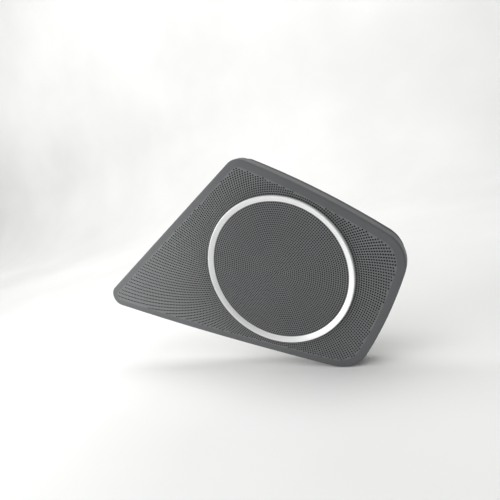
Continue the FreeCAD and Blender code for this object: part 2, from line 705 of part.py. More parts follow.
# --- terminals and crossover --------------------------------------------------------------
board_back = ledge_back + board_thickness
board = block(-board_width / 2, board_width / 2, ledge_back, board_back,
              -(spider_outer_radius + board_reach), -(ledge_inner + board_inset))
blades, terminal_rivets = [], []
for x in (-blade_spacing / 2, blade_spacing / 2):
    board = board.cut(disc(terminal_rivet_radius, ledge_back, board_back, x, terminal_z))
    tip_z = -(spider_outer_radius + board_reach - blade_inset)
    foot = block(x - blade_width / 2, x + blade_width / 2, board_back, board_back + blade_thickness,
                 tip_z, terminal_z + blade_foot)
    stem = block(x - blade_width / 2, x + blade_width / 2, board_back, board_back + blade_length,
                 tip_z, tip_z + blade_thickness)
    blade = foot.fuse(stem).removeSplitter()
    foot_back = board_back + blade_thickness
    blades.append(blade.cut(disc(terminal_rivet_radius, board_back, foot_back, x, terminal_z)))
    rivet_front = lead_back - lead_thickness - terminal_head_height
    rivet = disc(terminal_rivet_radius, rivet_front, foot_back, x, terminal_z)
    for y in (rivet_front, foot_back):
        head_radius = terminal_rivet_radius * terminal_head_scale
        rivet = rivet.fuse(disc(head_radius, y, y + terminal_head_height, x, terminal_z))
    terminal_rivets.append(rivet)
nodes["terminal_board"] = board
nodes["terminal_blades"] = Part.makeCompound(blades)
nodes["terminal_rivets"] = Part.makeCompound(terminal_rivets)
clip_radius = capacitor_radius + clip_thickness
cup = slant((ledge_inner, ledge_front), (basket_seat_radius, basket_front), ledge_back)
cap_z = cup[1] + clip_gap + clip_radius
cap_y = ledge_back + capacitor_radius
capacitor = Part.makeCylinder(capacitor_radius, capacitor_length, Vector(-capacitor_length / 2, cap_y, cap_z),
                              Vector(1, 0, 0))
nodes["crossover_capacitor"] = capacitor.makeFillet(capacitor_round, capacitor.Edges)
strap = Part.makeCylinder(clip_radius, clip_width, Vector(-clip_width / 2, cap_y, cap_z), Vector(1, 0, 0))
strap = strap.fuse(block(-clip_width / 2, clip_width / 2, ledge_back, cap_y, cap_z - clip_radius,
                         cap_z + clip_radius))
strap = strap.cut(capacitor)
nodes["capacitor_clip"] = strap.cut(block(-clip_width, clip_width, ledge_back - clip_thickness, cap_y,
                                          cap_z - capacitor_radius, cap_z + capacitor_radius))


# --- tweeter ------------------------------------------------------------------------------
def make_dome():
    """A thin spherical cap with a flat rim."""
    ball = (dome_radius ** 2 + dome_height ** 2) / (2 * dome_height)
    half = math.asin(dome_radius / ball) / 2
    top = dome_front - dome_height
    mid_r, mid_y = ball * math.sin(half), top + ball * (1 - math.cos(half))
    rim = dome_radius + dome_rim
    thick = dome_thickness
    return turned_wire([
        arc((0, top), (mid_r, mid_y), (dome_radius, dome_front)),
        line((dome_radius, dome_front), (rim, dome_front)),
        line((rim, dome_front), (rim, dome_back)),
        line((rim, dome_back), (dome_radius, dome_back)),
        arc((dome_radius, dome_back), (mid_r, mid_y + thick), (0, top + thick)),
        line((0, top + thick), (0, top))])


def make_suspension():
    y, thick = dome_seat, suspension_thickness
    lip, rim = dome_radius + suspension_lap, dome_radius + dome_rim + suspension_clearance
    middle = rim + suspension_roll
    outer, inner = suspension_roll, suspension_roll - thick
    reach = math.sqrt(outer ** 2 - thick ** 2)
    edge = housing_inner - 2 * part_clearance
    return turned_wire([
        line((lip, y), (middle - inner, y)),
        arc((middle - inner, y), (middle, y - inner), (middle + inner, y)),
        line((middle + inner, y), (edge, y)),
        line((edge, y), (edge, y - thick)),
        line((edge, y - thick), (middle + reach, y - thick)),
        arc((middle + reach, y - thick), (middle, y - outer), (middle - reach, y - thick)),
        line((middle - reach, y - thick), (lip, y - thick)),
        line((lip, y - thick), (lip, y))])


def make_guard():
    outer = housing_inner - part_clearance
    ring = tube(outer, guard_inner, dome_back - guard_ring_height, dome_back)
    reach = outer - guard_leg_gap
    half = guard_arm_width / 2
    arm = block(0, reach, guard_front, guard_back, -half, half)
    leg = block(reach - guard_leg_width, reach, guard_front, dome_back - guard_leg_gap, -half, half)
    for one in around(arm.fuse(leg), guard_arm_count, 90):
        ring = ring.fuse(one)
    return ring.fuse(disc(guard_disc_radius, guard_front, guard_back)).removeSplitter()


socket_inner = post_radius + post_clearance
nodes["tweeter_housing"] = turned([
    (0, floor_front), (housing_inner, floor_front), (housing_inner, floor_back - housing_depth),
    (housing_radius, floor_back - housing_depth), (housing_radius, floor_back),
    (socket_inner + socket_wall, floor_back), (socket_inner + socket_wall, floor_back + socket_depth),
    (socket_inner, floor_back + socket_depth), (socket_inner, floor_back), (0, floor_back)])
yoke_outer = tweeter_gap_outer + tweeter_yoke_wall
nodes["tweeter_yoke"] = turned([
    (0, tweeter_magnet_back), (tweeter_gap_outer, tweeter_magnet_back),
    (tweeter_gap_outer, tweeter_yoke_front), (yoke_outer, tweeter_yoke_front),
    (yoke_outer, floor_front), (0, floor_front)])
nodes["tweeter_magnet"] = disc(tweeter_magnet_radius, tweeter_pole_back, tweeter_magnet_back)
nodes["tweeter_pole_piece"] = disc(tweeter_coil_inner - tweeter_clearance, tweeter_yoke_front,
                                   tweeter_pole_back)
nodes["tweeter_front_plate"] = tube(housing_inner - part_clearance, tweeter_gap_outer + tweeter_plate_step,
                                    dome_seat, tweeter_yoke_front)
nodes["tweeter_suspension"] = make_suspension()
nodes["tweeter_dome"] = make_dome()
nodes["tweeter_coil"] = tube(dome_radius, tweeter_coil_inner, dome_back, dome_back + tweeter_coil_height)
nodes["tweeter_guard"] = make_guard()

# --- one STEP file for each node ----------------------------------------------------------
os.makedirs("parts", exist_ok=True)
for name, shape in nodes.items():
    shape.exportStep("parts/" + name + ".step")
    print(name, len(shape.Solids), "valid" if shape.isValid() else "NOT VALID", round(shape.Volume))
print(len(nodes), "nodes")
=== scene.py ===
import json
import math

import bmesh
import bpy
import numpy as np
from mathutils import Matrix, Vector
from mathutils.geometry import convex_hull_2d, delaunay_2d_cdt


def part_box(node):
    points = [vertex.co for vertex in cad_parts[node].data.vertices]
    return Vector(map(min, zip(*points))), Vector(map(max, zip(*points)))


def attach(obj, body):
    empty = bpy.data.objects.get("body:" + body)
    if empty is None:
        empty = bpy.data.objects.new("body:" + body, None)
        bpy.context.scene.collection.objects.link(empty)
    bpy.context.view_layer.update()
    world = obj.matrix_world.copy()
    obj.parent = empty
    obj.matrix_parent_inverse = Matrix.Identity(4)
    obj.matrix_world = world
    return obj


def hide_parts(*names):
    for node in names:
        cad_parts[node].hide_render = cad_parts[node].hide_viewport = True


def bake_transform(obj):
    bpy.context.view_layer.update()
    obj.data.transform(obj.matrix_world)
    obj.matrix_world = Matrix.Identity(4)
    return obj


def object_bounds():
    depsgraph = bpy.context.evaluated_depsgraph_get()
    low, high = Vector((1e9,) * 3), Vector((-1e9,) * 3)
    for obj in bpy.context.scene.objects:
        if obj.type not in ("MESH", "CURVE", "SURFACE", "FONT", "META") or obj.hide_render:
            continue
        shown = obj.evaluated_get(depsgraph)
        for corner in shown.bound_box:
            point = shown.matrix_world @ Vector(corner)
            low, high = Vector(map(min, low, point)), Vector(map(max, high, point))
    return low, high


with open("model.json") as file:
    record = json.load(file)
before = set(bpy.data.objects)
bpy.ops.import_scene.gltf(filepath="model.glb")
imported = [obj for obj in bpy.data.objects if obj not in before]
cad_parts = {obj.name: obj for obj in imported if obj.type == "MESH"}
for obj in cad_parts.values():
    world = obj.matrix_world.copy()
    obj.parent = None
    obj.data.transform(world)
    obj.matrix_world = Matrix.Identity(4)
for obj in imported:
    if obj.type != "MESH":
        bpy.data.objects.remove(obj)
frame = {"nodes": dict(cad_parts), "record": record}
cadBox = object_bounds()
cadNodes = frame["nodes"]
print("frame loaded,", len(cadNodes), "CAD nodes")

# Lengths in the dictionaries are millimetres, but metres in those of the studio, the lights and
# the camera. The grille faces -Y, +Z is up, and the loudspeaker's axis is the Y axis.
metre = 0.001
waveCycle = 0.314       # length of one wave of the wave texture at scale 1


# shaders

def linearColour(hexColour):
    channels = [int(hexColour[i:i + 2], 16) / 255 for i in (1, 3, 5)]
    linear = [c / 12.92 if c <= 0.04045 else ((c + 0.055) / 1.055) ** 2.4 for c in channels]
    return (*linear, 1.0)


def addNode(tree, kind, settings=None, inputs=None):
    # adds one node, sets its options, and sets or links its inputs
    node = tree.nodes.new(kind)
    for key, value in (settings or {}).items():
        setattr(node, key, value)
    for key, value in (inputs or {}).items():
        if isinstance(value, bpy.types.NodeSocket):
            tree.links.new(value, node.inputs[key])
        else:
            node.inputs[key].default_value = value
    return node


def perMetre(sizeMm):
    # texture scale for a feature of this size, as object coordinates are in metres
    return 1.0 / (sizeMm * metre)


def newMaterial(name, fixed):
    # a material with one principled shader, whose fixed values sit on its own sockets
    material = bpy.data.materials.new(name)
    material.use_nodes = True
    tree = material.node_tree
    tree.nodes.clear()
    shader = addNode(tree, "ShaderNodeBsdfPrincipled", None, fixed)
    addNode(tree, "ShaderNodeOutputMaterial", None, {"Surface": shader.outputs["BSDF"]})
    place = addNode(tree, "ShaderNodeTexCoord").outputs["Object"]
    return material, tree, shader, place


def finishSurface(tree, shader, place, look, height):
    # uneven colour in patches, uneven roughness, and the relief that the height gives
    patches = addNode(tree, "ShaderNodeTexNoise", None,
                      {"Vector": place, "Scale": perMetre(look["patchMm"]), "Detail": 3.0})
    blend = addNode(tree, "ShaderNodeMath", {"operation": "MULTIPLY_ADD"},
                    {0: height, 1: look["heightTone"], 2: patches.outputs["Fac"]})
    ramp = addNode(tree, "ShaderNodeValToRGB", None, {"Fac": blend.outputs["Value"]})
    ramp.color_ramp.elements[0].position = 0.3
    ramp.color_ramp.elements[0].color = linearColour(look["darkHex"])
    ramp.color_ramp.elements[1].position = 0.3 + 0.4 * (1 + look["heightTone"])
    ramp.color_ramp.elements[1].color = linearColour(look["paleHex"])
    rough = addNode(tree, "ShaderNodeMapRange", None,
                    {"Value": patches.outputs["Fac"], "From Min": 0.3, "From Max": 0.7,
                     "To Min": look["roughness"][0], "To Max": look["roughness"][1]})
    relief = addNode(tree, "ShaderNodeBump", None,
                     {"Height": height, "Distance": look["reliefMm"] * metre, "Strength": 1.0})
    tree.links.new(ramp.outputs["Color"], shader.inputs["Base Color"])
    tree.links.new(rough.outputs["Result"], shader.inputs["Roughness"])
    tree.links.new(relief.outputs["Normal"], shader.inputs["Normal"])


def grainedMaterial(name, look, fixed):
    # a cast, moulded or plated surface: an irregular grain of one size
    material, tree, shader, place = newMaterial(name, fixed)
    stretched = addNode(tree, "ShaderNodeMapping", None,
                        {"Vector": place, "Scale": look.get("stretch", (1, 1, 1))})
    grain = addNode(tree, "ShaderNodeTexNoise", None,
                    {"Vector": stretched.outputs["Vector"], "Scale": perMetre(look["grainMm"]),
                     "Detail": look.get("detail", 2.0), "Roughness": 0.55})
    finishSurface(tree, shader, place, look, grain.outputs["Fac"])
    return material


def cellMaterial(name, look, fixed):
    # foam cells, crystals or flakes: pits or facets of one size
    material, tree, shader, place = newMaterial(name, fixed)
    cells = addNode(tree, "ShaderNodeTexVoronoi", {"feature": look["feature"]},
                    {"Vector": place, "Scale": perMetre(look["grainMm"])})
    finishSurface(tree, shader, place, look, cells.outputs["Distance"])
    return material


def wovenMaterial(name, look, fixed):
    # plain weave: threads along X and Z, each high where it crosses over the other
    material, tree, shader, place = newMaterial(name, fixed)
    waves = []
    for axis in ("X", "Z"):
        wave = addNode(tree, "ShaderNodeTexWave",
                       {"wave_type": "BANDS", "bands_direction": axis, "wave_profile": "SIN"},
                       {"Vector": place, "Scale": waveCycle * perMetre(look["threadMm"]),
                        "Distortion": 0.4, "Detail": 1.0, "Detail Scale": 2.0})
        waves.append(wave.outputs["Fac"])
    weave = addNode(tree, "ShaderNodeMath", {"operation": "MULTIPLY"}, {0: waves[0], 1: waves[1]})
    finishSurface(tree, shader, place, look, weave.outputs["Value"])
    return material


def turnedMaterial(name, look, fixed):
    # rings around the axis, as a lathe, a winding or a pressing leaves them
    material, tree, shader, place = newMaterial(name, fixed)
    wave = addNode(tree, "ShaderNodeTexWave",
                   {"wave_type": look["wave"], look["direction"][0]: look["direction"][1],
                    "wave_profile": "SIN"},
                   {"Vector": place, "Scale": waveCycle * perMetre(look["grainMm"]),
                    "Distortion": look["wander"], "Detail": 2.0, "Detail Scale": 1.5})
    finishSurface(tree, shader, place, look, wave.outputs["Fac"])
    return material


# ABS moulded in a spark-eroded tool: an even, silky charcoal with a fine pebble that spreads
# the highlights. The real pebble is about 0.25 mm and is drawn at 0.5 mm so that it shows.
mouldedAbs = grainedMaterial("mouldedAbsCharcoal", {
    "darkHex": "#535557", "paleHex": "#5b5d5f", "patchMm": 60, "grainMm": 0.5, "heightTone": 0.25,
    "roughness": (0.46, 0.56), "reliefMm": 0.03}, {"IOR": 1.54})

# The same ABS on the perforated field, a shade paler and duller than on the border.
paleFieldAbs = grainedMaterial("mouldedAbsPaleField", {
    "darkHex": "#666869", "paleHex": "#707273", "patchMm": 60, "grainMm": 0.5, "heightTone": 0.25,
    "roughness": (0.5, 0.6), "reliefMm": 0.04}, {"IOR": 1.54})

# The same ABS inside the holes, with hardly a grain. It is set nearly black, darker than the ABS
# is: painted shade down the bores, so that the small holes keep their contrast.
boresPaintedShadeAbs = grainedMaterial("mouldedAbsBoresPaintedShade", {
    "darkHex": "#0f0f10", "paleHex": "#161617", "patchMm": 20, "grainMm": 0.4, "heightTone": 0.2,
    "roughness": (0.5, 0.6), "reliefMm": 0.005}, {"IOR": 1.54})

# ABS with sprayed silver lacquer: fine aluminium flakes that make an even, bright, milky silver.
# The real flakes are under 0.05 mm wide and are drawn at 0.35 mm.
silverLacquer = grainedMaterial("silverLacquerSprayed", {
    "darkHex": "#eeeeef", "paleHex": "#f6f6f7", "patchMm": 30, "grainMm": 0.35, "heightTone": 0.15,
    "roughness": (0.34, 0.42), "reliefMm": 0.002}, {"Metallic": 0.3})

# Polyester cloth in an open plain weave: black and dull, so that no light comes back through
# the holes. The real threads are 0.3 mm apart and are drawn at 0.6 mm.
wovenPolyester = wovenMaterial("wovenPolyesterBlack", {
    "darkHex": "#0c0c0d", "paleHex": "#232426", "patchMm": 25, "threadMm": 0.6, "heightTone": 0.8,
    "roughness": (0.8, 0.95), "reliefMm": 0.12},
    {"IOR": 1.5, "Sheen Weight": 0.15, "Sheen Roughness": 0.5})

# Polypropylene filled with talc, moulded: near black with grey flow clouds and a dull grain.
filledPolypropylene = grainedMaterial("talcPolypropyleneMoulded", {
    "darkHex": "#1f2022", "paleHex": "#2e3032", "patchMm": 35, "grainMm": 0.9, "heightTone": 0.3,
    "roughness": (0.48, 0.62), "reliefMm": 0.04}, {"IOR": 1.49})

# EPDM foam, cut from sheet: open pits about 0.6 mm wide over a soft charcoal ground.
cutFoam = cellMaterial("epdmFoamCut", {
    "feature": "F1", "darkHex": "#19191a", "paleHex": "#39393b", "patchMm": 12, "grainMm": 0.6,
    "heightTone": 0.6, "roughness": (0.85, 0.97), "reliefMm": 0.25},
    {"IOR": 1.45, "Sheen Weight": 0.2, "Sheen Roughness": 0.6})

# Steel with passivated zinc: pale grey metal that turns faintly straw in cloudy patches.
zincSteel = grainedMaterial("zincPlatedSteel", {
    "darkHex": "#a9a69b", "paleHex": "#cfcdc6", "patchMm": 7, "grainMm": 0.5, "heightTone": 0.3,
    "roughness": (0.28, 0.46), "reliefMm": 0.012}, {"Metallic": 1.0})

# Mild steel with blue passivated zinc, on the plates of the magnets: a darker, cooler metal than
# the screws. The turning marks round the axis are 0.2 mm apart and are drawn at 1.6 mm.
turnedSteel = turnedMaterial("bluePassivatedSteelTurned", {
    "wave": "RINGS", "direction": ("rings_direction", "Y"), "darkHex": "#77797d", "paleHex": "#9fa1a4",
    "patchMm": 18, "grainMm": 1.6, "wander": 0.2, "heightTone": 0.25, "roughness": (0.32, 0.44),
    "reliefMm": 0.012}, {"Metallic": 1.0})

# Steel with yellow chromated zinc, on the bolt through the magnet: straw gold, cloudy.
chromatedSteel = grainedMaterial("yellowChromatedSteel", {
    "darkHex": "#a58f55", "paleHex": "#cdb981", "patchMm": 5, "grainMm": 0.5, "heightTone": 0.3,
    "roughness": (0.26, 0.4), "reliefMm": 0.01}, {"Metallic": 1.0})

# Spring steel after a phosphate bath: dark, matt and finely crystalline. The real crystals are
# some hundredths of a millimetre wide and are drawn at 0.4 mm.
phosphatedSteel = cellMaterial("phosphatedSpringSteel", {
    "feature": "F1", "darkHex": "#3c3d40", "paleHex": "#5b5c5f", "patchMm": 5, "grainMm": 0.4,
    "heightTone": 0.3, "roughness": (0.5, 0.68), "reliefMm": 0.02}, {"Metallic": 1.0})

# Brass, turned on a lathe: fine rings 0.35 mm apart that catch the light in bands.
turnedBrass = turnedMaterial("turnedBrass", {
    "wave": "BANDS", "direction": ("bands_direction", "Y"), "darkHex": "#a98a4b", "paleHex": "#d8bd7c",
    "patchMm": 6, "grainMm": 0.35, "wander": 0.3, "heightTone": 0.3, "roughness": (0.24, 0.38),
    "reliefMm": 0.01}, {"Metallic": 1.0})

# Pressed steel with black dip paint: an even satin skin with a faint orange peel.
dipPaintedSteel = grainedMaterial("dipPaintedPressedSteel", {
    "darkHex": "#17181a", "paleHex": "#232527", "patchMm": 30, "grainMm": 1.6, "heightTone": 0.15,
    "roughness": (0.3, 0.42), "reliefMm": 0.03}, {"IOR": 1.5, "Coat Weight": 0.15, "Coat Roughness": 0.2})

# Butyl rubber, moulded: deep black, with a greyish bloom that dulls it in patches.
mouldedRubber = grainedMaterial("butylRubberMoulded", {
    "darkHex": "#141415", "paleHex": "#252526", "patchMm": 14, "grainMm": 0.5, "heightTone": 0.25,
    "roughness": (0.52, 0.72), "reliefMm": 0.02}, {"IOR": 1.52})

# Polypropylene cone with mineral flakes, pressed: black with tiny pale flecks 0.7 mm wide.
pressedCone = cellMaterial("mineralPolypropylenePressed", {
    "feature": "F1", "darkHex": "#151618", "paleHex": "#34363a", "patchMm": 18, "grainMm": 0.7,
    "heightTone": 0.35, "roughness": (0.35, 0.5), "reliefMm": 0.02}, {"IOR": 1.5})

# Aluminium foil, rolled: thin bright metal with lengthwise roll lines.
rolledFoil = grainedMaterial("rolledAluminiumFoil", {
    "darkHex": "#b9bbbd", "paleHex": "#d8d9da", "patchMm": 8, "grainMm": 0.5, "stretch": (1, 0.1, 1),
    "heightTone": 0.3, "roughness": (0.28, 0.42), "reliefMm": 0.01}, {"Metallic": 1.0})

# Copper wire with clear enamel, wound: turns 0.3 mm apart, orange with dark valleys.
woundCopper = turnedMaterial("enamelledCopperWound", {
    "wave": "BANDS", "direction": ("bands_direction", "Y"), "darkHex": "#6b3217", "paleHex": "#c9773f",
    "patchMm": 5, "grainMm": 0.3, "wander": 0.1, "heightTone": 1.2, "roughness": (0.22, 0.35),
    "reliefMm": 0.08}, {"Metallic": 1.0, "Coat Weight": 0.6, "Coat Roughness": 0.12})

# Cotton dipped in phenolic resin, woven and pressed: amber, stiff, threads 0.7 mm apart.
resinCotton = wovenMaterial("phenolicCottonWoven", {
    "darkHex": "#8d6228", "paleHex": "#d0a45a", "patchMm": 16, "threadMm": 0.7, "heightTone": 0.8,
    "roughness": (0.55, 0.75), "reliefMm": 0.15}, {"IOR": 1.55, "Sheen Weight": 0.1})

# Tinsel wire, braided flat: silvery strands 0.4 mm apart with dark gaps between them.
braidedTinsel = wovenMaterial("copperTinselBraided", {
    "darkHex": "#6f6c65", "paleHex": "#d3d0c7", "patchMm": 4, "threadMm": 0.4, "heightTone": 0.9,
    "roughness": (0.3, 0.45), "reliefMm": 0.1}, {"Metallic": 1.0})

# Ferrite, sintered and ground: dark grey stone with grinding lines across the faces. The real
# lines are finer and are drawn at 0.8 mm.
groundFerrite = grainedMaterial("sinteredFerriteGround", {
    "darkHex": "#242527", "paleHex": "#3b3c3f", "patchMm": 10, "grainMm": 0.8, "stretch": (0.12, 1, 1),
    "heightTone": 0.4, "detail": 4.0, "roughness": (0.42, 0.6), "reliefMm": 0.03},
    {"IOR": 1.6, "Specular IOR Level": 0.6})

# Phenolic paper board, pressed and sawn: brown, with fibres running along its length.
phenolicBoard = grainedMaterial("phenolicPaperPressed", {
    "darkHex": "#5a351b", "paleHex": "#7d5430", "patchMm": 6, "grainMm": 0.5, "stretch": (0.2, 1, 1),
    "heightTone": 0.4, "detail": 3.0, "roughness": (0.4, 0.55), "reliefMm": 0.02}, {"IOR": 1.56})

# Film capacitor, dipped in resin: glossy ochre with a slightly wavy skin.
dippedResin = grainedMaterial("epoxyResinDipped", {
    "darkHex": "#8f6316", "paleHex": "#b98828", "patchMm": 8, "grainMm": 2.5, "heightTone": 0.2,
    "roughness": (0.18, 0.28), "reliefMm": 0.08}, {"IOR": 1.55, "Coat Weight": 0.5, "Coat Roughness": 0.08})

# ABS moulded in a polished tool, then lightly blasted: satin black, almost no grain.
satinAbs = grainedMaterial("mouldedAbsSatinBlack", {
    "darkHex": "#141516", "paleHex": "#202123", "patchMm": 12, "grainMm": 0.4, "heightTone": 0.2,
    "roughness": (0.3, 0.42), "reliefMm": 0.012}, {"IOR": 1.54})

# Neodymium iron, nickel plated: small bright magnet with a warm tint.
nickelPlating = grainedMaterial("nickelPlatedNeodymium", {
    "darkHex": "#aaa69c", "paleHex": "#cbc8be", "patchMm": 4, "grainMm": 0.4, "heightTone": 0.2,
    "roughness": (0.2, 0.32), "reliefMm": 0.008}, {"Metallic": 1.0})

# Silk, woven, pressed into a dome and coated: soft black with threads 0.25 mm apart, drawn at 0.4.
coatedSilk = wovenMaterial("coatedSilkWoven", {
    "darkHex": "#121213", "paleHex": "#2d2d30", "patchMm": 5, "threadMm": 0.4, "heightTone": 0.6,
    "roughness": (0.45, 0.6), "reliefMm": 0.05}, {"IOR": 1.48, "Coat Weight": 0.2, "Coat Roughness": 0.35})

slotMaterials = {
    "grille_plastic": mouldedAbs, "trim_metal": silverLacquer, "black_cloth": wovenPolyester,
    "carrier_plastic": filledPolypropylene, "foam": cutFoam, "zinc_steel": zincSteel,
    "spring_steel": phosphatedSteel, "brass": turnedBrass, "basket_paint": dipPaintedSteel,
    "rubber": mouldedRubber, "cone_material": pressedCone, "former": rolledFoil,
    "copper_wire": woundCopper, "spider_cloth": resinCotton, "silver_braid": braidedTinsel,
    "ferrite": groundFerrite, "board": phenolicBoard, "capacitor_film": dippedResin,
    "tweeter_plastic": satinAbs, "neodymium": nickelPlating, "dome_silk": coatedSilk,
}
nodeMaterials = {      # steel pieces with a finish of their own
    "pole_yoke": turnedSteel, "top_plate": turnedSteel, "tweeter_yoke": turnedSteel,
    "tweeter_front_plate": turnedSteel, "post_bolt": chromatedSteel, "mount_sleeves": chromatedSteel,
}
for part in frame["record"]["subparts"]:
    for holder in cadNodes[part["node"]].material_slots:
        holder.material = nodeMaterials.get(part["node"], slotMaterials[part["material_slot"]])
print("materials:", len(slotMaterials) + len(set(nodeMaterials.values())))


# meshes

def makePiece(name, points, faces, slotName, body, sharpDegrees=40, finishes=()):
    # points are in millimetres; the piece gets outward normals and rides on its body;
    # finishes are (material, first face, face after the last) for stretches of its faces
    mesh = bpy.data.meshes.new(name)
    mesh.from_pydata((np.asarray(points, float) * metre).tolist(), [], faces)
    work = bmesh.new()
    work.from_mesh(mesh)
    bmesh.ops.recalc_face_normals(work, faces=work.faces)
    work.to_mesh(mesh)
    work.free()
    mesh.shade_smooth()
    mesh.set_sharp_from_angle(angle=math.radians(sharpDegrees))
    mesh.materials.append(slotMaterials[slotName])
    for index, (material, first, end) in enumerate(finishes, 1):
        mesh.materials.append(material)
        for face in mesh.polygons[first:end]:
            face.material_index = index
    piece = bpy.data.objects.new(name, mesh)
    bpy.context.scene.collection.objects.link(piece)
    if body:
        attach(piece, body)
    return piece


def turnLoop(loop, steps, centre=(0.0, 0.0)):
    # turns a closed loop of (radius, y) about the Y axis through centre
    points, rows = [], []
    for radius, y in loop:
        count = steps if radius > 1e-6 else 1
        rows.append((len(points), count))
        for i in range(count):
            angle = 2 * math.pi * i / steps
            points.append((centre[0] + radius * math.cos(angle), y, centre[1] + radius * math.sin(angle)))
    faces = []
    for k, (start, count) in enumerate(rows):
        after, afterCount = rows[(k + 1) % len(rows)]
        if count == 1 and afterCount == 1:
            continue
        for i in range(steps):
            j = (i + 1) % steps
            corners = [start + i % count, start + j % count, after + j % afterCount, after + i % afterCount]
            faces.append(list(dict.fromkeys(corners)))
    return points, faces


def joinParts(parts):
    # one point list and one face list from several
    points, faces = [], []
    for partPoints, partFaces in parts:
        shift = len(points)
        points += list(partPoints)
        faces += [[index + shift for index in face] for face in partFaces]
    return points, faces


def roundedLoop(corners, rounding, steps=5):
    # a closed (radius, y) loop with each corner rounded
    loop = []
    for k, corner in enumerate(corners):
        here = Vector(corner)
        for other, order in ((corners[k - 1], 0), (corners[(k + 1) % len(corners)], 1)):
            arm = Vector(other) - here
            reach = min(rounding, arm.length * 0.48)
            if order == 0:
                first = here + arm.normalized() * reach
            else:
                last = here + arm.normalized() * reach
        for i in range(steps + 1):
            t = i / steps
            loop.append(tuple(first * (1 - t) ** 2 + here * 2 * t * (1 - t) + last * t ** 2))
    return loop


def islandCentres(nodeName, spread=9.0):
    # the (x, z) centre of each separate solid in a CAD node, in millimetres; each has to be
    # narrower than spread and further than that from the next
    verts = [v.co / metre for v in cadNodes[nodeName].data.vertices]
    groups = []
    for co in verts:
        spot = Vector((co.x, co.z))
        home = next((g for g in groups if (g[0] - spot).length < spread), None)
        if home is None:
            groups.append([spot.copy(), spot.copy(), spot.copy()])
            continue
        for i in (0, 1):
            home[1][i] = min(home[1][i], spot[i])
            home[2][i] = max(home[2][i], spot[i])
    return [tuple((low + high) / 2) for _, low, high in groups]


def nodeLevels(nodeName):
    # front and back of a CAD node along Y, in millimetres
    low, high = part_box(nodeName)
    return low.y / metre, high.y / metre


# the grille's outline, from the CAD panel's own edge

def readOutline(skirtDepth, nearest=1.0):
    # the hull of what lies at the skirt's back edge, without points that are nearly the same
    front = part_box("grille_panel")[0].y
    seen = [Vector((v.co.x, v.co.z)) / metre for v in cadNodes["grille_panel"].data.vertices
            if v.co.y > front + skirtDepth * metre]
    loop = []
    for index in convex_hull_2d(seen):
        if not loop or (seen[index] - loop[-1]).length > nearest:
            loop.append(seen[index])
    if (loop[0] - loop[-1]).length <= nearest:
        loop.pop()
    return loop


def insetLoop(loop, distance):
    # moves every side of the loop inwards by the distance
    moved = []
    for k, point in enumerate(loop):
        before = (point - loop[k - 1]).normalized()
        after = (loop[(k + 1) % len(loop)] - point).normalized()
        inwards = Vector((-before.y - after.y, before.x + after.x)).normalized()
        moved.append(point + inwards * distance / max(0.2, inwards.dot(Vector((-before.y, before.x)))))
    return moved


skirtDepth = 11.0       # behind the grille's front; what lies further back gives the outline
outline = readOutline(skirtDepth)
if sum(a.cross(b) for a, b in zip(outline, outline[1:] + outline[:1])) < 0:
    outline.reverse()
print("outline points:", len(outline))


# the perforated grille, in two pieces that meet under the trim ring

grille = {
    "thickness": 1.2,           # of the perforated field
    "borderThickness": 2.5,
    "borderWidth": 8.0,
    "edgeRound": 1.6,
    "skirtThickness": 2.2,
    "holePitch": 2.27,          # between the rings of holes
    "holeRadius": 0.85,         # at the front; moulded holes widen to the back
    "holeBackRadius": 0.98,
    "holeSides": 10,
    "firstAngle": 37.0,         # of the pattern, from +X towards +Z
    "evenRings": 38,            # rings with six holes more than the one inside; then as many as the last
    "twistShare": 1 / 6,        # of a hole's pitch that each later ring is turned clockwise
    "seamRadius": 79.5,
    "ringCount": 130,           # more than it takes to pass the far tip
    "hiddenRings": (34, 37),    # left out, because the trim ring covers them
    "seamMargin": 4.0,          # at least, from the seam to the centre of a hole inside it
    "landWidth": 2.6,           # of full thickness on each side of the seam
    "holeMargin": 0.1,          # from a hole's edge to the border
    "seamSteps": 240, "edgeSteps": 6,
    "edgeFlats": (0.35, 0.4),   # narrow strips beside the rolled edge, on the front and on the skirt
    "edgeBreak": 0.3,           # of the skirt's and the bosses' corners
    "bossRadius": 4.0,
    "bossBoreRadius": 1.8,
    "boreBreak": 0.2,
}


def holeCentres():
    centres = []
    for ring in range(grille["ringCount"]):
        if grille["hiddenRings"][0] <= ring < grille["hiddenRings"][1]:
            continue
        count = max(1, 6 * min(ring, grille["evenRings"]))
        step = 2 * math.pi / count
        turn = math.radians(grille["firstAngle"])
        turn -= max(0, ring - grille["evenRings"]) * grille["twistShare"] * step
        radius = ring * grille["holePitch"]
        centres += [(radius * math.cos(turn + step * i), radius * math.sin(turn + step * i))
                    for i in range(count)]
    return np.array(centres)


def insideBy(points, loop):
    # how far each point lies inside the convex loop
    a = np.array(loop)
    along = np.roll(a, -1, axis=0) - a
    along /= np.linalg.norm(along, axis=1)[:, None]
    gap = points[:, None, :] - a[None]
    return (along[:, 0] * gap[:, :, 1] - along[:, 1] * gap[:, :, 0]).min(axis=1)


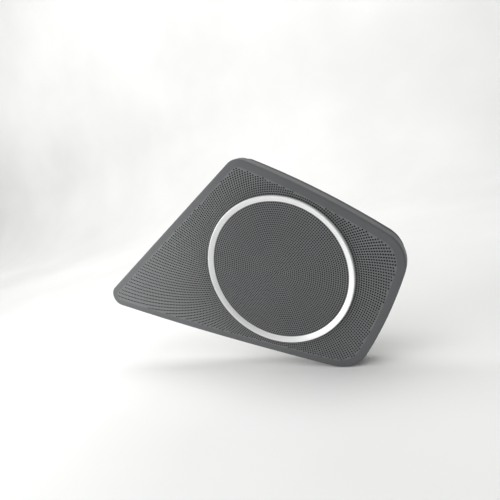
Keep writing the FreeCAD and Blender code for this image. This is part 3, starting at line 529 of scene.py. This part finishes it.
def perforatedSheet(rim, core, centres, front, back):
    # a sheet with real holes inside the loop rim, and outside the loop core where there is one;
    # returns points, faces, where its flat faces and bores end, and the rim's points, front and back
    sides = grille["holeSides"]
    angles = np.arange(sides) * 2 * math.pi / sides
    circle = np.stack([np.cos(angles), np.sin(angles)], axis=1)
    loops = [np.array(rim)] + ([np.array(core)] if core is not None else [])
    loops += [centre + circle * grille["holeRadius"] for centre in centres]
    starts = np.cumsum([0] + [len(loop) for loop in loops])
    flat = [Vector(p) for p in np.concatenate(loops)]
    rings = [list(range(starts[i], starts[i + 1])) for i in range(len(loops))]
    found, _, triangles, origins, _, owners = delaunay_2d_cdt(flat, [], rings, 1, 1e-6)
    place = {source: index for index, sources in enumerate(origins) for source in sources}
    frontPoints = np.array([(p.x, front, p.y) for p in found])
    backPoints = frontPoints.copy()
    backPoints[:, 1] = back
    shrink = grille["holeBackRadius"] / grille["holeRadius"]
    for ring, centre in zip(rings[len(rings) - len(centres):], centres):
        spots = [place[i] for i in ring]
        backPoints[spots, 0] = centre[0] + (frontPoints[spots, 0] - centre[0]) * shrink
        backPoints[spots, 2] = centre[1] + (frontPoints[spots, 2] - centre[1]) * shrink
    total = len(frontPoints)
    faces = []
    for triangle, owner in zip(triangles, owners):
        if list(owner) == [0]:
            faces.append(list(triangle))
            faces.append([i + total for i in reversed(triangle)])
    flatEnd = len(faces)
    for ring in rings[1:]:
        for a, b in zip(ring, ring[1:] + ring[:1]):
            faces.append([place[a], place[b], place[b] + total, place[a] + total])
    rimFront = [place[i] for i in rings[0]]
    rimBack = [place[i] + total for i in rings[0]]
    return np.concatenate([frontPoints, backPoints]), faces, (flatEnd, len(faces)), rimFront, rimBack


def circleLoop(radius, steps):
    return [(radius * math.cos(2 * math.pi * i / steps), radius * math.sin(2 * math.pi * i / steps))
            for i in range(steps)]


def bridgeRows(rows):
    # quads between rows of as many points
    faces = []
    for row, after in zip(rows, rows[1:]):
        for i in range(len(row)):
            j = (i + 1) % len(row)
            faces.append([row[i], row[j], after[j], after[i]])
    return faces


panelFront, panelBossEnd = nodeLevels("grille_panel")
fieldBack = panelFront + grille["thickness"]
plateBack = panelFront + grille["borderThickness"]
skirtReach = 1.0        # from the outline; points that lie nearer belong to the skirt
skirtBack = max(v.co.y for v in cadNodes["grille_panel"].data.vertices
                if insideBy(np.array([(v.co.x, v.co.z)]) / metre, outline)[0] < skirtReach) / metre
holes = holeCentres()
reach = np.hypot(holes[:, 0], holes[:, 1])
fieldRim = insetLoop(outline, grille["borderWidth"])
seamRadius, landWidth, seamSteps = grille["seamRadius"], grille["landWidth"], grille["seamSteps"]

# inside the trim ring
rimLoop = circleLoop(seamRadius, seamSteps)
centreHoles = holes[reach < seamRadius - grille["seamMargin"]]
points, faces, (flatEnd, boreEnd), rimFront, rimBack = perforatedSheet(
    rimLoop, None, centreHoles, panelFront, fieldBack)
faces += bridgeRows([rimFront, rimBack])
land = turnLoop([(seamRadius - landWidth, fieldBack), (seamRadius, fieldBack),
                 (seamRadius, plateBack), (seamRadius - landWidth, plateBack)], seamSteps)
points, faces = joinParts([(points.tolist(), faces), land])
# the bores take the nearly black ABS, which is painted shade
grilleCentre = makePiece("grilleCentre", points, faces, "grille_plastic", "module",
                         finishes=[(paleFieldAbs, 0, flatEnd), (boresPaintedShadeAbs, flatEnd, boreEnd)])
print("grille centre:", len(centreHoles), "holes,", len(faces), "faces")

# outside the trim ring, with the border, the rolled edge and the skirt
holeRoom = grille["holeRadius"] + grille["holeMargin"]
fieldHoles = holes[(reach > seamRadius) & (insideBy(holes, fieldRim) > holeRoom)]
core = circleLoop(seamRadius, seamSteps)
points, faces, (flatEnd, boreEnd), rimFront, rimBack = perforatedSheet(
    fieldRim, core, fieldHoles, panelFront, fieldBack)
edgeRound, edgeBreak, skirt = grille["edgeRound"], grille["edgeBreak"], grille["skirtThickness"]
frontFlat, skirtFlat = grille["edgeFlats"]
profile = [(edgeRound + frontFlat, panelFront)]
for i in range(grille["edgeSteps"] + 1):
    angle = math.pi / 2 * i / grille["edgeSteps"]
    profile.append((edgeRound * (1 - math.sin(angle)), panelFront + edgeRound * (1 - math.cos(angle))))
profile += [(0.0, panelFront + edgeRound + skirtFlat), (0.0, skirtBack - edgeBreak),
            (edgeBreak, skirtBack), (skirt - edgeBreak, skirtBack), (skirt, skirtBack - edgeBreak),
            (skirt, plateBack), (grille["borderWidth"], plateBack)]
points = points.tolist()
rows = [rimFront]
for inset, y in profile:
    rows.append(list(range(len(points), len(points) + len(outline))))
    points += [(p.x, y, p.y) for p in insetLoop(outline, inset)]
rows.append(rimBack)
faces += bridgeRows(rows)
land = turnLoop([(seamRadius, fieldBack), (seamRadius + landWidth, fieldBack),
                 (seamRadius + landWidth, plateBack), (seamRadius, plateBack)], seamSteps)
parts = [(points, faces), land]
bore, outer, boreBreak = grille["bossBoreRadius"], grille["bossRadius"], grille["boreBreak"]
boss = [(bore, plateBack), (outer, fieldBack), (outer, panelBossEnd - edgeBreak),
        (outer - edgeBreak, panelBossEnd), (bore + boreBreak, panelBossEnd), (bore, panelBossEnd - boreBreak)]
for spot in islandCentres("grille_screws"):
    parts.append(turnLoop(boss, 40, spot))
points, faces = joinParts(parts)
# the bores take the nearly black ABS, which is painted shade
grilleBorder = makePiece("grilleBorder", points, faces, "grille_plastic", "module",
                         finishes=[(paleFieldAbs, 0, flatEnd), (boresPaintedShadeAbs, flatEnd, boreEnd)])
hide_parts("grille_panel")
print("grille border:", len(fieldHoles), "holes,", len(faces), "faces")


# the trim ring and its pegs

trimRing = {
    "outerRadius": 82.5, "innerRadius": 76.5,
    "innerHeight": 0.4,         # of the inner edge above the grille
    "crestWidth": 0.9,
    "crestAngles": (-28.0, 90.0),       # of the crest's arc: 0 is its top, 90 its outer side
    "crestSteps": 8, "steps": 360,
    "pegRadius": 1.5, "pegCount": 6,
    "pegBreak": (0.4, 0.5),     # across and along, of the slope at a peg's tip
}
ringTop, pegEnd = nodeLevels("trim_ring")
outerR, innerR, crest = trimRing["outerRadius"], trimRing["innerRadius"], trimRing["crestWidth"]
innerTop = panelFront - trimRing["innerHeight"]
section = [(innerR, panelFront), (innerR, innerTop + 0.15),      # the inner edge has a small round
           (innerR + 0.05, innerTop + 0.03), (innerR + 0.2, innerTop - 0.08)]
crestStart, crestEnd = trimRing["crestAngles"]
for i in range(trimRing["crestSteps"] + 1):
    angle = math.radians(crestStart + (crestEnd - crestStart) * i / trimRing["crestSteps"])
    section.append((outerR - crest + crest * math.sin(angle), ringTop + crest - crest * math.cos(angle)))
section.append((outerR, panelFront))
parts = [turnLoop(section, trimRing["steps"])]
pegMiddle = (outerR + innerR) / 2
peg, (tipStep, tipLength) = trimRing["pegRadius"], trimRing["pegBreak"]
for k in range(trimRing["pegCount"]):
    angle = 2 * math.pi * k / trimRing["pegCount"]
    spot = (pegMiddle * math.cos(angle), pegMiddle * math.sin(angle))
    parts.append(turnLoop([(0.0, panelFront), (peg, panelFront), (peg, pegEnd - tipLength),
                           (peg - tipStep, pegEnd), (0.0, pegEnd)], 24, spot))
points, faces = joinParts(parts)
trimPiece = makePiece("trimRingSilver", points, faces, "trim_metal", "module", 50)
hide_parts("trim_ring")
print("trim ring done")


# the cloth, stretched over the back of the grille and held by the bosses and the ring's pegs

cloth = {
    "inset": 6.0,               # from the grille's edge
    "bossHoleRadius": 4.5, "pegHoleRadius": 1.6,
    "meshSpacing": 5.0,
    "slack": 0.12,              # depth of the shallow waves between its fixings
    "waves": (9.0, 11.0),       # length per radian of the waves along X and Z
    "stillEdge": 12.0,          # over which the waves die out towards the edge
    "edgeRoom": 2.0,            # kept free of inner points along every edge
}


def makeCloth():
    front, back = nodeLevels("acoustic_cloth")
    rim = insetLoop(outline, cloth["inset"])
    cuts = [(spot, cloth["bossHoleRadius"]) for spot in islandCentres("grille_screws")]
    cuts += [(spot, cloth["pegHoleRadius"]) for spot in islandCentres("trim_ring_push_nuts")]
    loops = [np.array(rim)]
    for spot, radius in cuts:
        loops.append(np.array(spot) + np.array(circleLoop(radius, 20)))
    starts = np.cumsum([0] + [len(loop) for loop in loops])
    rings = [list(range(starts[i], starts[i + 1])) for i in range(len(loops))]
    spacing, room = cloth["meshSpacing"], cloth["edgeRoom"]
    low = np.floor(np.min(loops[0], axis=0) / spacing) * spacing
    high = np.max(loops[0], axis=0)
    grid = np.array([(x, z) for x in np.arange(low[0], high[0], spacing)
                     for z in np.arange(low[1], high[1], spacing)])
    grid = grid[insideBy(grid, rim) > room]
    for spot, radius in cuts:
        grid = grid[np.hypot(*(grid - np.array(spot)).T) > radius + room]
    flat = [Vector(p) for p in np.concatenate(loops + [grid])]
    found, _, triangles, _, _, owners = delaunay_2d_cdt(flat, [], rings, 1, 1e-6)
    co = np.array([(p.x, p.y) for p in found])
    wave = cloth["slack"] * np.sin(co[:, 0] / cloth["waves"][0]) * np.sin(co[:, 1] / cloth["waves"][1])
    wave *= np.clip(insideBy(co, rim) / cloth["stillEdge"], 0, 1)
    sheetPoints = np.stack([co[:, 0], (front + back) / 2 + wave, co[:, 1]], axis=1)
    faces = []
    for triangle, owner in zip(triangles, owners):
        if list(owner) == [0]:
            faces.append(list(triangle))
    piece = makePiece("acousticClothWoven", sheetPoints, faces, "black_cloth", "module")
    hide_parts("acoustic_cloth")


makeCloth()


# foam: the door seal, the gasket under the loudspeaker and the ring over the surround

foam = {
    "door_seal": {"name": "doorSealFoam", "rounding": 0.7, "fill": 0.8},
    "speaker_gasket": {"name": "speakerGasketFoam", "rounding": 0.5, "fill": 0.9},
    "surround_retainer": {"name": "surroundRingFoam", "rounding": 0.7, "fill": 0.8},
}


def nodeRadii(nodeName):
    # inner and outer radius of a turned CAD node
    reachSet = [math.hypot(v.co.x, v.co.z) / metre for v in cadNodes[nodeName].data.vertices]
    return min(reachSet), max(reachSet)


for nodeName, made in foam.items():
    inner, outer = nodeRadii(nodeName)
    front, back = nodeLevels(nodeName)
    loop = roundedLoop([(inner, front), (outer, front), (outer, back), (inner, back)], made["rounding"])
    points, faces = turnLoop(loop, 240)
    ring = makePiece(made["name"], points, faces, "foam", "module", 60)
    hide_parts(nodeName)
print("foam rings done")


# the parts that bend as the cone and the dome move

surround = {
    "lip": 52.5, "rollInner": 56.0, "rollOuter": 66.5, "landing": 73.0, "thickness": 0.6,
}
spider = {
    "inner": 13.2, "neck": 2.5, "ledge": 6.5, "ledgeThickness": 1.2, "rolls": 12, "rollHeight": 1.1,
    "thickness": 0.5, "rows": 160,
}
leads = {
    "spacing": 12.0, "width": 3.6, "thickness": 0.4, "inset": 0.3, "outerInset": 1.2,
    "squareness": 0.6,          # 1 gives an elliptical section, less a squarer one
    "rows": 140, "sides": 12,
}
suspension = {
    "lip": 9.8, "rollInner": 10.4, "rollOuter": 12.6, "landing": 15.2, "thickness": 0.3,
}


def rollLoop(shape, level, steps=18):
    # a flat lip, a half-round roll to the front and a flat landing; level is the back face
    middle = (shape["rollInner"] + shape["rollOuter"]) / 2
    outer = (shape["rollOuter"] - shape["rollInner"]) / 2
    thick = shape["thickness"]
    inner = outer - thick
    loop = [(shape["lip"], level)]
    loop += [(middle - inner * math.cos(math.pi * i / steps), level - inner * math.sin(math.pi * i / steps))
             for i in range(steps + 1)]
    loop += [(shape["landing"], level), (shape["landing"], level - thick)]
    start = math.asin(thick / outer)
    for i in range(steps + 1):
        angle = start + (math.pi - 2 * start) * i / steps
        loop.append((middle + outer * math.cos(angle), level - outer * math.sin(angle)))
    loop.append((shape["lip"], level - thick))
    return loop


def bendBetween(piece, outer, inner):
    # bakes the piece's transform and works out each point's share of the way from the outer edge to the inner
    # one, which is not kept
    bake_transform(piece)
    for v in piece.data.vertices:
        share = (outer - math.hypot(v.co.x, v.co.z) / metre) / (outer - inner)
        share = min(1.0, max(0.0, share))


surroundBack = nodeLevels("surround")[1]
points, faces = turnLoop(rollLoop(surround, surroundBack), 240)
surroundPiece = makePiece("surroundRubber", points, faces, "rubber", None)
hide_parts("surround")
bendBetween(surroundPiece, surround["rollOuter"], surround["rollInner"])

spiderOuter = nodeRadii("spider")[1]
spiderBack = nodeLevels("terminal_board")[0] - spider["ledgeThickness"]
rollStart, rollEnd = spider["inner"] + spider["neck"], spiderOuter - spider["ledge"]


def spiderLevel(radius):
    # how far the rolls push the cloth back at this radius
    if not rollStart < radius < rollEnd:
        return 0.0
    share = (radius - rollStart) / (rollEnd - rollStart) * spider["rolls"]
    return spider["rollHeight"] * math.sin(math.pi * (share % 1)) * (-1 if int(share) % 2 else 1)


radii = np.linspace(spider["inner"], spiderOuter, spider["rows"] + 1)
loop = [(r, spiderBack + spiderLevel(r)) for r in radii]
loop += [(r, spiderBack - spider["thickness"] + spiderLevel(r)) for r in reversed(radii)]
points, faces = turnLoop(loop, 180)
spiderPiece = makePiece("spiderCotton", points, faces, "spider_cloth", None)
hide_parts("spider")
bendBetween(spiderPiece, rollEnd, rollStart)

parts = []
leadBack = spiderBack - spider["thickness"]
sides, halfWidth, halfThick = leads["sides"], leads["width"] / 2, leads["thickness"] / 2
for side in (-1, 1):
    stations = np.linspace(spider["inner"] + leads["inset"], spiderOuter - leads["outerInset"], leads["rows"])
    points, faces = [], []
    for station in stations:
        for i in range(sides):
            across, through = math.cos(2 * math.pi * i / sides), math.sin(2 * math.pi * i / sides)
            x = side * leads["spacing"] / 2
            x += halfWidth * math.copysign(abs(across) ** leads["squareness"], across)
            y = leadBack - halfThick + spiderLevel(math.hypot(x, station)) + halfThick * through
            points.append((x, y, -station))
    rows = [list(range(k * sides, (k + 1) * sides)) for k in range(len(stations))]
    faces = bridgeRows(rows) + [rows[0], rows[-1]]
    parts.append((points, faces))
points, faces = joinParts(parts)
leadPiece = makePiece("tinselLeads", points, faces, "silver_braid", None)
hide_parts("spider_leads")
bendBetween(leadPiece, rollEnd, rollStart)

points, faces = turnLoop(rollLoop(suspension, nodeLevels("tweeter_suspension")[1], 12), 120)
suspensionPiece = makePiece("tweeterSuspensionSilk", points, faces, "dome_silk", None)
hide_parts("tweeter_suspension")
bendBetween(suspensionPiece, suspension["rollOuter"], suspension["rollInner"])
print("bending parts done")


# floor and backdrop, light and camera

studio = {
    "floorGap": 0.0005, "floorReach": 7.0, "halfWidth": 7.0,
    "backdropAt": 1.3, "backdropHeight": 2.2, "bend": 0.5, "bendSteps": 16,
    "floorHex": "#f7f7f6", "worldHex": "#ffffff", "worldStrength": 0.26,
}
lights = {
    # place, aim, width, height, watts
    "softboxAbove": ((0.25, -0.55, 1.15), (0.0, 0.0, 0.0), 1.2, 0.9, 5.0),
    "softboxLeft": ((-0.85, -0.55, 0.12), (-0.1, 0.0, 0.0), 0.7, 0.9, 7.4),
    "backdropWash": ((-1.3, 0.3, 1.4), (-1.3, 1.1, 0.0), 4.0, 0.7, 26.0),
}
camera = {
    "place": (0.1828, -0.3911, 0.1216), "lens": 28.8, "sensor": 36.0, "clip": (0.01, 20.0),
    "right": (0.8668, 0.4232, -0.2637), "up": (0.1321, 0.3151, 0.9398), "back": (0.4808, -0.8495, 0.2172),
}


def makeBackdrop():
    level = cadBox[0].z - studio["floorGap"]
    path = [(-studio["floorReach"], level)]
    for i in range(studio["bendSteps"] + 1):
        angle = math.pi / 2 * i / studio["bendSteps"]
        path.append((studio["backdropAt"] - studio["bend"] + studio["bend"] * math.sin(angle),
                     level + studio["bend"] * (1 - math.cos(angle))))
    path.append((studio["backdropAt"], level + studio["backdropHeight"]))
    mesh = bpy.data.meshes.new("backdrop")
    points = [(x, y, z) for y, z in path for x in (-studio["halfWidth"], studio["halfWidth"])]
    mesh.from_pydata(points, [], [[2 * i, 2 * i + 1, 2 * i + 3, 2 * i + 2] for i in range(len(path) - 1)])
    mesh.shade_smooth()
    material, tree, shader, place = newMaterial("mattPaintPale", {"IOR": 1.45})
    shade = addNode(tree, "ShaderNodeTexNoise", None, {"Vector": place, "Scale": 3.0, "Detail": 2.0})
    finishSurface(tree, shader, place, {
        "darkHex": "#ececeb", "paleHex": studio["floorHex"], "patchMm": 400, "heightTone": 0.1,
        "roughness": (0.85, 0.95), "reliefMm": 0.05}, shade.outputs["Fac"])
    mesh.materials.append(material)
    backdrop = bpy.data.objects.new("backdrop", mesh)
    bpy.context.scene.collection.objects.link(backdrop)


def makeLights():
    world = bpy.data.worlds.new("studioWorld")
    world.use_nodes = True
    world.node_tree.nodes.clear()
    glow = addNode(world.node_tree, "ShaderNodeBackground", None,
                   {"Color": linearColour(studio["worldHex"]), "Strength": studio["worldStrength"]})
    addNode(world.node_tree, "ShaderNodeOutputWorld", None, {"Surface": glow.outputs["Background"]})
    bpy.context.scene.world = world
    for name, (place, aim, width, height, watts) in lights.items():
        data = bpy.data.lights.new(name, "AREA")
        data.shape = "RECTANGLE"
        data.size, data.size_y, data.energy = width, height, watts
        lamp = bpy.data.objects.new(name, data)
        lamp.location = place
        lamp.rotation_euler = (Vector(aim) - Vector(place)).to_track_quat("-Z", "Y").to_euler()
        bpy.context.scene.collection.objects.link(lamp)


def makeCamera():
    data = bpy.data.cameras.new("camera")
    data.lens, data.sensor_width = camera["lens"], camera["sensor"]
    data.clip_start, data.clip_end = camera["clip"]
    view = bpy.data.objects.new("camera", data)
    turn = Matrix([camera["right"], camera["up"], camera["back"]]).transposed()
    view.matrix_world = Matrix.Translation(camera["place"]) @ turn.to_4x4()
    bpy.context.scene.collection.objects.link(view)
    bpy.context.scene.camera = view


makeBackdrop()
makeLights()
makeCamera()
bpy.context.scene.view_settings.view_transform = "Standard"
print("studio done")
